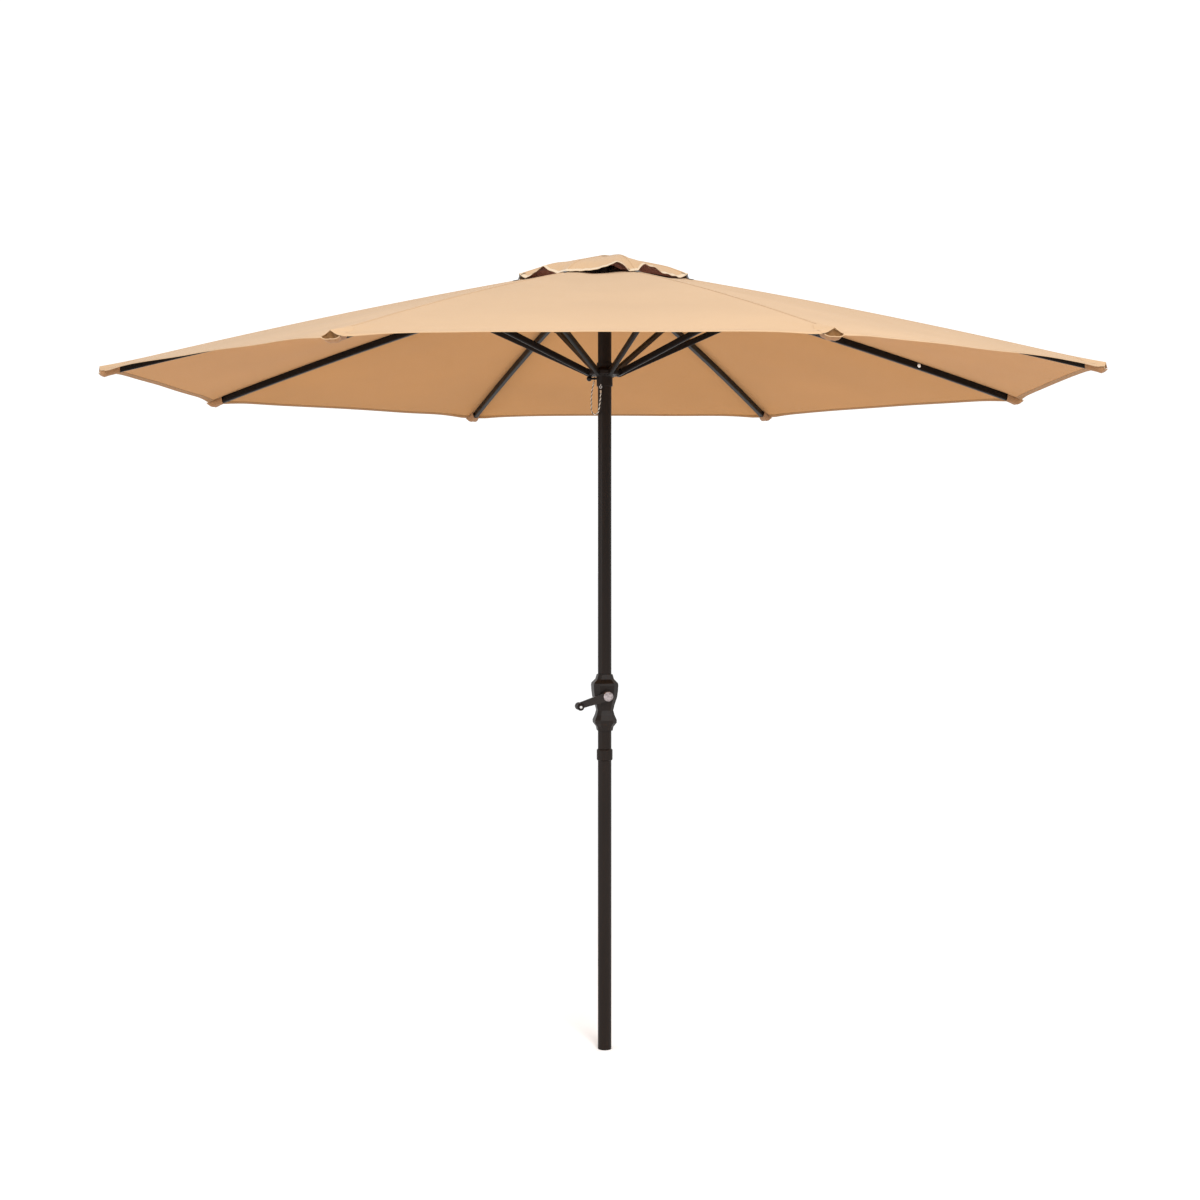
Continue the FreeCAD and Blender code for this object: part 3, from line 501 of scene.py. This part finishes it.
def vent_z(number, side, r, t):
    """Height of the vent cap's top, puffed up between its tied corners."""
    gore = VENT_ARCHES[(number - 1 if side > 0 else number - 2) % RIBS]
    start, apex, end, extra, before, after, sink = gore
    s = t / 2 if side > 0 else 1 - t / 2
    if s < apex:
        arch = 1 - min(1.0, (apex - s) / (apex - start)) ** before
    else:
        arch = 1 - min(1.0, (s - apex) / (end - apex)) ** after
    ridge, middle = through(VENT_RIDGE, r), through(VENT_MIDDLE, r)
    edge = max(0.0, (r - VENT_ARCH_FROM) / (VENT_R - VENT_ARCH_FROM)) ** 2
    lift = (middle - ridge) * arch + extra * arch * edge
    settle = edge * (1 - arch) * (ridge_z(r) - main_z(number, side, r, t))
    angle = turn_of(number) + side * math.atan2(t * SIN * COS, 1 - t * SIN * SIN)
    inner = math.sin(math.pi * (r - VENT_CLAMP_R) / (VENT_R - VENT_CLAMP_R)) ** 2
    billow = BILLOW * max(0.0, math.cos(angle - BILLOW_AT)) ** 16
    puff = inner * (billow - sink * math.sin(math.pi * s))
    puff += CORNER_LIFTS[number - 1] * edge ** 2 * max(0.0, 1 - t / 0.3) ** 1.5
    size, fine = VENT_RIPPLE
    wrinkle = ripple(number, side, r, t, size * edge ** 0.5, fine)
    return ridge + lift - settle + puff + wrinkle


def gore_point(height, number, side, r, t, lift=0.0):
    """(point, cloth coordinates) on one side of a rib."""
    x = r * (1 - t * SIN * SIN)
    y = side * r * t * SIN * COS
    return Vector((x, y, height(number, side, r, t) + lift)), (y / COS, r)


def over(height, number, x, y, lift=0.0):
    """(point, cloth coordinates) on the same surface, from x and y."""
    side = 1 if y >= 0 else -1
    r = x + TAN * abs(y)
    t = abs(y) / (r * SIN * COS)
    return Vector((x, y, height(number, side, r, t) + lift)), (y, x)


def strip(builder, height, number, xs, half, lifts, slots, columns=4):
    """A flat band along the rib's seam, between two lifts above the cloth's top."""
    low, high = lifts
    ys = spaced(-half, half, columns)
    upper = [[over(height, number, x, y, high) for y in ys] for x in xs]
    lower = [[over(height, number, x, y, low) for y in ys] for x in xs]
    builder.slab(upper, lower, slots)


def seam(builder, height, number, low_x, high_x, slots, steps):
    """The felled seam over a rib, with its two rows of stitches."""
    xs = spaced(low_x, high_x, steps)
    lifts = (SEAM_FROM, SEAM_TO)
    strip(builder, height, number, xs, SEAM_WIDTH / 2, lifts, (slots[0], slots[0]))
    for y in (-SEAM_STITCHES, SEAM_STITCHES):
        line = [over(height, number, x, y, SEAM_TO)[0] for x in xs]
        builder.stitches(line, Vector((0, 0, 1)), slot=slots[1])


def half_gore(builder, height, number, side, radii, columns, thicker, slots):
    """Half of a gore as thin closed cloth. radii are (r, edged): where edged is 1 the cloth
    is thicker by thicker = (above, below), for its hem or binding. slots are the top, the
    underside, the edging's top and the edging's underside."""
    shares = spaced(0.0, 1.0, columns)

    def grid(base, step):
        return [
            [gore_point(height, number, side, r, t, base + step * edged) for t in shares]
            for r, edged in radii
        ]

    upper, lower = grid(0.0, thicker[0]), grid(-CLOTH, -thicker[1])
    top = [[builder.vertex(*p) for p in row] for row in upper]
    low = [[builder.vertex(*p) for p in row] for row in lower]
    plain = sum(1 for _, edged in radii if not edged)
    for rows, first, second in ((top, slots[0], slots[2]), (low, slots[1], slots[3])):
        builder.skin(rows[:plain], first)
        builder.skin(rows[plain - 1:], second)
    outward = Vector((0.0007, 0, 0))
    lip = [
        builder.vertex((p[0] + q[0]) / 2 + outward, p[1]) for p, q in zip(upper[-1], lower[-1])
    ]
    builder.skin([top[-1], lip, low[-1]], slots[2])
    builder.skin([top[0], low[0]], slots[1])
    for column in (0, -1):
        builder.skin([[row[column] for row in top], [row[column] for row in low]], slots[1])
        builder.face((top[-1][column], lip[column], low[-1][column]), slots[1])


# ---- the main canopy --------------------------------------------------------------------
CANOPY_SLOTS = [canopy_top, canopy_under_shaded, thread, binding]
TOP, UNDER, THREAD, BINDING_TAPE, EXTRA = range(5)
# a half-gore's share of the cut cloth: triangles between rib and mid-gore
# a crown piece has an allowance on one side, which is tucked under the next piece
TUCK, TUCK_FROM = 0.85, 0.030


def fold_away(piece, number):
    """A half-gore rides on its rib, with a mesh of its own."""
    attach(piece, f"rib_{number}")
    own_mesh(piece)


def main_half(number, side):
    built = Builder()
    hem_from = RIM_R - HEM
    radii = [(HOLE_R, 0), (HOLE_R + 0.006, 0)]
    radii += [(r, 0) for r in spaced(HOLE_R + 0.012, hem_from, 64)]
    radii += [(hem_from + 0.0007, 1), (RIM_R - 0.008, 1), (RIM_R - 0.002, 1), (RIM_R, 1)]
    # the hem's underside takes the painted-shade hem cloth
    slots = (TOP, UNDER, TOP, EXTRA)
    half_gore(built, main_z, number, side, radii, 22, HEM_THICKER, slots)
    r = RIM_R - HEM * HEM_STITCHES
    shares = spaced(0.03, 1.0, 40)
    for lift, up in ((HEM_THICKER[0], 1), (-CLOTH - HEM_THICKER[1], -1)):
        line = [gore_point(main_z, number, side, r, t, lift)[0] for t in shares]
        built.stitches(line, Vector((0, 0, up)), slot=THREAD)
    name = f"canopy_{number}_{'left' if side > 0 else 'right'}"
    piece = built.finish(name, CANOPY_SLOTS + [canopy_hem_shaded], turn_of(number))
    fold_away(piece, number)
    return piece


def main_seam(number):
    """The seam over the rib and the reinforcing tape under it."""
    built = Builder()
    low, high = HOLE_R + 0.004, PATCH_FROM + 0.004
    seam(built, main_z, number, low, high, (TOP, THREAD), 60)
    xs = spaced(low, POCKET_FROM + 0.01, 60)
    strip(built, main_z, number, xs, TAPE_WIDTH / 2, UNDER_TAPE, (TOP, UNDER))
    piece = built.finish(f"canopy_seam_{number}", CANOPY_SLOTS, turn_of(number))
    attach(piece, f"rib_{number}")
    return piece


# ---- the pocket that holds a rib's tip --------------------------------------------------
def pocket_drop(x):
    """How deep the pocket is at x: it clears the rib's tip, then rises to its open mouth."""
    past = max(x - TIP_END, 0.0) / (POCKET_TO - TIP_END)
    return POCKET_DEPTH + (MOUTH_DEPTH - POCKET_DEPTH) * past


def pocket_point(number, x, v, drop):
    """A point of the pocket's hanging part: v is -1 to 1 across, drop its depth there."""
    flare = (x - POCKET_FROM) / (POCKET_TO - POCKET_FROM)
    y = v * POCKET_HALF * (POCKET_NARROW + (1 - POCKET_NARROW) * flare)
    full = 1 - abs(v) ** 4.0
    at = min(x, RIM_R)
    point, _ = over(main_z, number, at, y, -CLOTH - 0.0010 - drop * full)
    point.x = x
    point.z -= tip_tent(at, abs(y)) * full
    return point, (y, x)


def rib_pocket(number):
    built = Builder()
    shares = spaced(-1.0, 1.0, 16)
    outer, inner = [], []
    for x in spaced(POCKET_FROM, POCKET_TO, 12):
        drop = pocket_drop(x)
        outer.append([pocket_point(number, x, v, drop + POCKET_CLOTH) for v in shares])
        inner.append([pocket_point(number, x, v * 0.97, drop) for v in shares])
    built.slab(outer, inner, (EXTRA + 1, EXTRA), EXTRA + 1)
    patch = spaced(PATCH_FROM, POCKET_TO, 14)
    upper, lower = [], []
    for x in patch:
        share = (x - PATCH_FROM) / (POCKET_TO - PATCH_FROM)
        half = POCKET_HALF * min(0.55 + 1.4 * share, 1.0)
        for rows, lift in ((upper, 0.0008), (lower, -0.0001)):
            found = [over(main_z, number, min(x, RIM_R), y, lift)[0]
                     for y in spaced(-half, half, 12)]
            rows.append([(Vector((x, p.y, p.z)), (p.y, x)) for p in found])
    built.slab(upper, lower, (TOP, UNDER))
    # the pocket's tucked-in end, in the painted-shade inside cloth
    end_x = POCKET_TO - 0.0030
    ends = []
    for back in (0.0, POCKET_CLOTH):
        x = end_x - back
        rows = []
        for level in spaced(0.02, 1.0, 6):
            row = []
            for v in shares:
                low, _ = pocket_point(number, x, v * 0.96, pocket_drop(x) + 0.0003)
                high, _ = over(main_z, number, min(x, RIM_R), low.y, -CLOTH)
                bulge = 0.004 * math.sin(math.pi * level) * (1 - v * v) + 0.0010 * math.sin(9 * v)
                z = high.z + (low.z - high.z) * level
                row.append((Vector((x - bulge, low.y, z)), (low.y, level * 0.02)))
            rows.append(row)
        ends.append(rows)
    built.slab(ends[0], ends[1], (EXTRA, EXTRA))
    rim = [pocket_point(number, POCKET_TO, v, pocket_drop(POCKET_TO) + 0.0004)[0]
           for v in shares]
    built.tube(rim, POCKET_CLOTH, TOP, 6)
    at = POCKET_FROM + 0.004
    line = [pocket_point(number, at, v, pocket_drop(at) + 0.0010)[0]
            for v in spaced(-0.9, 0.9, 12)]
    built.stitches(line, Vector((0, 0, -1)), slot=THREAD)
    slots = CANOPY_SLOTS + [pocket_inside_shaded, pocket_cloth_shaded]
    piece = built.finish(f"rib_pocket_{number}", slots, turn_of(number))
    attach(piece, f"rib_{number}")
    return piece


# ---- the vent cap -----------------------------------------------------------------------
def vent_half(number, side):
    built = Builder()
    edge_from = VENT_R - BINDING
    radii = [(r, 0) for r in spaced(CROWN_R, edge_from, 22)]
    radii += [(edge_from + 0.0006, 1), (VENT_R - 0.005, 1), (VENT_R - 0.001, 1), (VENT_R, 1)]
    # the vent's underside takes the painted-shade cloth
    slots = (TOP, EXTRA, BINDING_TAPE, BINDING_TAPE)
    half_gore(built, vent_z, number, side, radii, 18, BINDING_THICKER, slots)
    shares = spaced(0.03, 1.0, 18)
    for lift, up in ((BINDING_THICKER[0], 1), (-CLOTH - BINDING_THICKER[1], -1)):
        line = [gore_point(vent_z, number, side, edge_from + 0.002, t, lift)[0] for t in shares]
        built.stitches(line, Vector((0, 0, up)), slot=THREAD)
    name = f"vent_{number}_{'left' if side > 0 else 'right'}"
    piece = built.finish(name, CANOPY_SLOTS + [vent_inside_shaded], turn_of(number))
    fold_away(piece, number)
    return piece


def crown_tuck(number):
    """Cloth that a crown piece tucks under the next one."""
    following = number % RIBS + 1
    to_next = Matrix.Rotation(RIB_STEP, 3, "Z")
    grids = []
    for lift in (-CLOTH - 0.0002, -2 * CLOTH - 0.0002):
        rows = []
        for r in spaced(TUCK_FROM, CROWN_R, 10):
            row = []
            for t in spaced(1.0, 1.0 - TUCK, 4):
                point, flat = gore_point(vent_z, following, -1, r, t, lift)
                row.append((to_next @ point, flat))
            rows.append(row)
        grids.append(rows)
    return grids


def vent_crown(number):
    """The middle of the vent cap, clamped on the pole's top."""
    built = Builder()
    radii = spaced(VENT_CLAMP_R, CROWN_R, 12)
    grids = []
    for lift in (0.0, -CLOTH):
        rows = []
        for r in radii:
            row = [gore_point(vent_z, number, -1, r, t, lift) for t in spaced(1.0, 0.0, 8)]
            row += [gore_point(vent_z, number, 1, r, t, lift) for t in spaced(0.0, 1.0, 8)[1:]]
            rows.append(row)
        grids.append(rows)
    built.slab(*grids, (TOP, EXTRA))
    built.slab(*crown_tuck(number), (TOP, EXTRA))
    seam(built, vent_z, number, 0.030, CROWN_R, (TOP, THREAD), 10)
    piece = built.finish(f"vent_crown_{number}", CANOPY_SLOTS + [vent_inside_shaded], turn_of(number))
    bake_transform(piece)
    return piece


def vent_seam(number):
    """The vent's seam over the rib, its tape, and the tab that ties its corner down."""
    built = Builder()
    seam(built, vent_z, number, CROWN_R, VENT_R - BINDING, (TOP, THREAD), 24)
    xs = spaced(CROWN_R * 0.93, VENT_R - BINDING, 24)
    strip(built, vent_z, number, xs, VENT_FOLD - 0.001, UNDER_TAPE, (TOP, EXTRA + 1))
    line = [
        (VENT_R - 0.016, vent_z(number, 1, VENT_R - 0.016, 0.0) - 0.0022),
        (VENT_R - 0.004, vent_z(number, 1, VENT_R - 0.004, 0.0) - 0.0022),
        (VENT_R + 0.002, ridge_z(VENT_R + 0.002) + 0.0024),
        (VENT_R + 0.008, ridge_z(VENT_R + 0.008) + 0.0018),
        (VENT_R + 0.018, ridge_z(VENT_R + 0.018) + 0.0018),
    ]
    upper, lower = [], []
    for x, z in line:
        ys = spaced(-TIE_HALF, TIE_HALF, 4)
        row = [(Vector((x, y, z - abs(y) * 0.10)), (y, x)) for y in ys]
        upper.append(row)
        lower.append([(p - Vector((0, 0, TIE_THICK)), flat) for p, flat in row])
    built.slab(upper, lower, (EXTRA, EXTRA))
    slots = CANOPY_SLOTS + [tie_elastic, vent_inside_shaded]
    piece = built.finish(f"vent_seam_{number}", slots, turn_of(number))
    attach(piece, f"rib_{number}")
    return piece


for number in range(1, RIBS + 1):
    made = [main_half(number, side) for side in (1, -1)]
    made += [vent_half(number, side) for side in (1, -1)]
    main_seam(number)
    rib_pocket(number)
    vent_crown(number)
    vent_seam(number)
    for piece in made:
        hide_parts(f"canopy_panel_{number}")


# ---- a white snap on one rib ------------------------------------------------------------
def rib_snap():
    """A domed snap on the side of the first rib: SNAP_AT along it, facing the front."""
    built = Builder()
    centre = Vector((SNAP_AT, -0.0071, ridge_z(SNAP_AT) - 0.0112))
    profile = [(0.0058, -0.0006), (0.0058, 0.0006), (0.0052, 0.0011), (0.0040, 0.0013),
               (0.0036, 0.0017), (0.0026, 0.0021), (0.0012, 0.0023)]
    rings = []
    for radius, out in profile:
        rings.append([
            built.vertex(centre + Vector((radius * math.cos(a), -out, radius * math.sin(a))))
            for a in (2 * math.pi * k / 24 for k in range(25))
        ])
    built.skin(rings)
    for ring in (rings[0], rings[-1]):
        built.face(ring[:-1])
    piece = built.finish("rib_snap", [snap_white], turn_of(1))
    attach(piece, "rib_1")


rib_snap()


# ---- the keeper cord on the lock pin ----------------------------------------------------
def route_line():
    """The cord's smooth line: points read from its NURBS spline."""
    curve = bpy.data.curves.new("keeper_route", "CURVE")
    curve.dimensions = "3D"
    curve.resolution_u = 16
    spline = curve.splines.new("NURBS")
    spline.points.add(len(KEEPER_ROUTE) - 1)
    for point, at in zip(spline.points, KEEPER_ROUTE):
        point.co = (*at, 1.0)
    spline.order_u = 3
    spline.use_endpoint_u = True
    holder = bpy.data.objects.new("keeper_route", curve)
    bpy.context.collection.objects.link(holder)
    mesh = bpy.data.meshes.new_from_object(holder)
    line = [vertex.co.copy() for vertex in mesh.vertices]
    bpy.data.objects.remove(holder)
    bpy.data.meshes.remove(mesh)
    bpy.data.curves.remove(curve)
    return line


def strands(line, radius, pitch, steps=4):
    """Two helices round a line, each as a list of points."""
    found = ([], [])
    normal, run, turn = None, 0.0, 0.0
    for a, b in zip(line, line[1:]):
        along = (b - a).normalized()
        if normal is None:
            normal = along.orthogonal().normalized()
        normal = (normal - along * normal.dot(along)).normalized()
        other = along.cross(normal)
        for k in range(steps):
            at = a.lerp(b, k / steps)
            turn = 2 * math.pi * (run + (b - a).length * k / steps) / pitch
            for side, points in zip((0.0, math.pi), found):
                c, s = math.cos(turn + side), math.sin(turn + side)
                points.append(at + (normal * c + other * s) * radius)
        run += (b - a).length
    return found


def keeper_cord():
    built = Builder()
    line = route_line()
    strand = KEEPER_DIAMETER / 4
    for slot, points in enumerate(strands(line, strand, KEEPER_PITCH)):
        built.tube(points, strand * 1.25, slot, 8)
    piece = built.finish("keeper_cord_twisted", [FINISHES["keeper_twine"], keeper_dark])
    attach(piece, "runner")
    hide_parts("keeper_cord")
    whippings = [whipping("keeper_whipping_top", line, 0.001),
                 whipping("keeper_whipping_end", line[::-1], 0.001)]


def whipping(name, line, start):
    """Thread wound round an end of the cord."""
    along = (line[3] - line[0]).normalized()
    side = along.orthogonal().normalized()
    other = along.cross(side)
    points = []
    for k in range(73):
        a = 2 * math.pi * k / 12
        rise = start + 0.0011 * k / 12
        points.append(line[0] + along * rise + (side * math.cos(a) + other * math.sin(a)) * 0.0019)
    built = Builder()
    built.tube(points, 0.00055, 0, 6)
    piece = built.finish(name, [binding])
    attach(piece, "runner")
    return piece


keeper_cord()


# ---- finishes of the CAD nodes ----------------------------------------------------------
def dress(node, slot_name):
    made = nodes[node]
    made.data.materials.clear()
    made.data.materials.append(FINISHES[slot_name])
    for face in made.data.polygons:
        face.use_smooth = True
    made.data.set_sharp_from_angle(angle=math.radians(28.0))


for part in frame["record"]["subparts"]:
    dress(part["node"], part["material_slot"])
nodes["finial"].data.materials[0] = canopy_top
# the crank arm takes the lighter plastic, a painted highlight
nodes["crank_arm"].data.materials[0] = arm_plastic_highlit


# ---- studio -----------------------------------------------------------------------------
def studio_floor():
    work = bmesh.new()
    bmesh.ops.create_circle(work, cap_ends=True, radius=60.0, segments=96)
    mesh = bpy.data.meshes.new("studio_floor")
    work.to_mesh(mesh)
    work.free()
    mesh.materials.append(floor_finish())
    made = bpy.data.objects.new("studio_floor", mesh)
    bpy.context.collection.objects.link(made)


def soft_light(name, at, target, size, power):
    light = bpy.data.lights.new(name, "AREA")
    light.shape = "DISK"
    light.size = size
    light.energy = power
    made = bpy.data.objects.new(name, light)
    made.location = at
    made.rotation_euler = (Vector(target) - Vector(at)).to_track_quat("-Z", "Y").to_euler()
    bpy.context.collection.objects.link(made)


# each light's name, place, target, width and power in watts
LIGHTS = [
    ("key", (1.6, -5.0, 4.4), (0.0, 0.0, 1.6), 2.6, 300),
    ("edge", (-4.2, -2.6, 1.4), (0.0, 0.0, 1.1), 1.2, 40),
]
SKY_STRENGTH = 1.1


def studio():
    studio_floor()
    world = bpy.data.worlds.new("studio")
    world.use_nodes = True
    sky = world.node_tree.nodes["Background"]
    sky.inputs["Color"].default_value = (1.0, 1.0, 1.0, 1.0)
    sky.inputs["Strength"].default_value = SKY_STRENGTH
    bpy.context.scene.world = world
    for light in LIGHTS:
        soft_light(*light)


CAMERA_DISTANCE, CAMERA_HEIGHT = 4.739, 1.439
CAMERA_TURN, CAMERA_AIM = 2.24, 0.157  # degrees: round the pole, and past its middle
LENS, LENS_SHIFT = 50.86, -0.0554


def camera():
    turn = math.radians(CAMERA_TURN)
    data = bpy.data.cameras.new("camera")
    data.lens = LENS
    data.shift_y = LENS_SHIFT
    data.clip_end = 200.0
    made = bpy.data.objects.new("camera", data)
    made.location = (CAMERA_DISTANCE * math.sin(turn), -CAMERA_DISTANCE * math.cos(turn),
                     CAMERA_HEIGHT)
    made.rotation_euler = (math.radians(90.0), 0.0, math.radians(CAMERA_TURN + CAMERA_AIM))
    bpy.context.collection.objects.link(made)
    bpy.context.scene.camera = made


studio()
camera()
bpy.context.scene.view_settings.view_transform = "Standard"
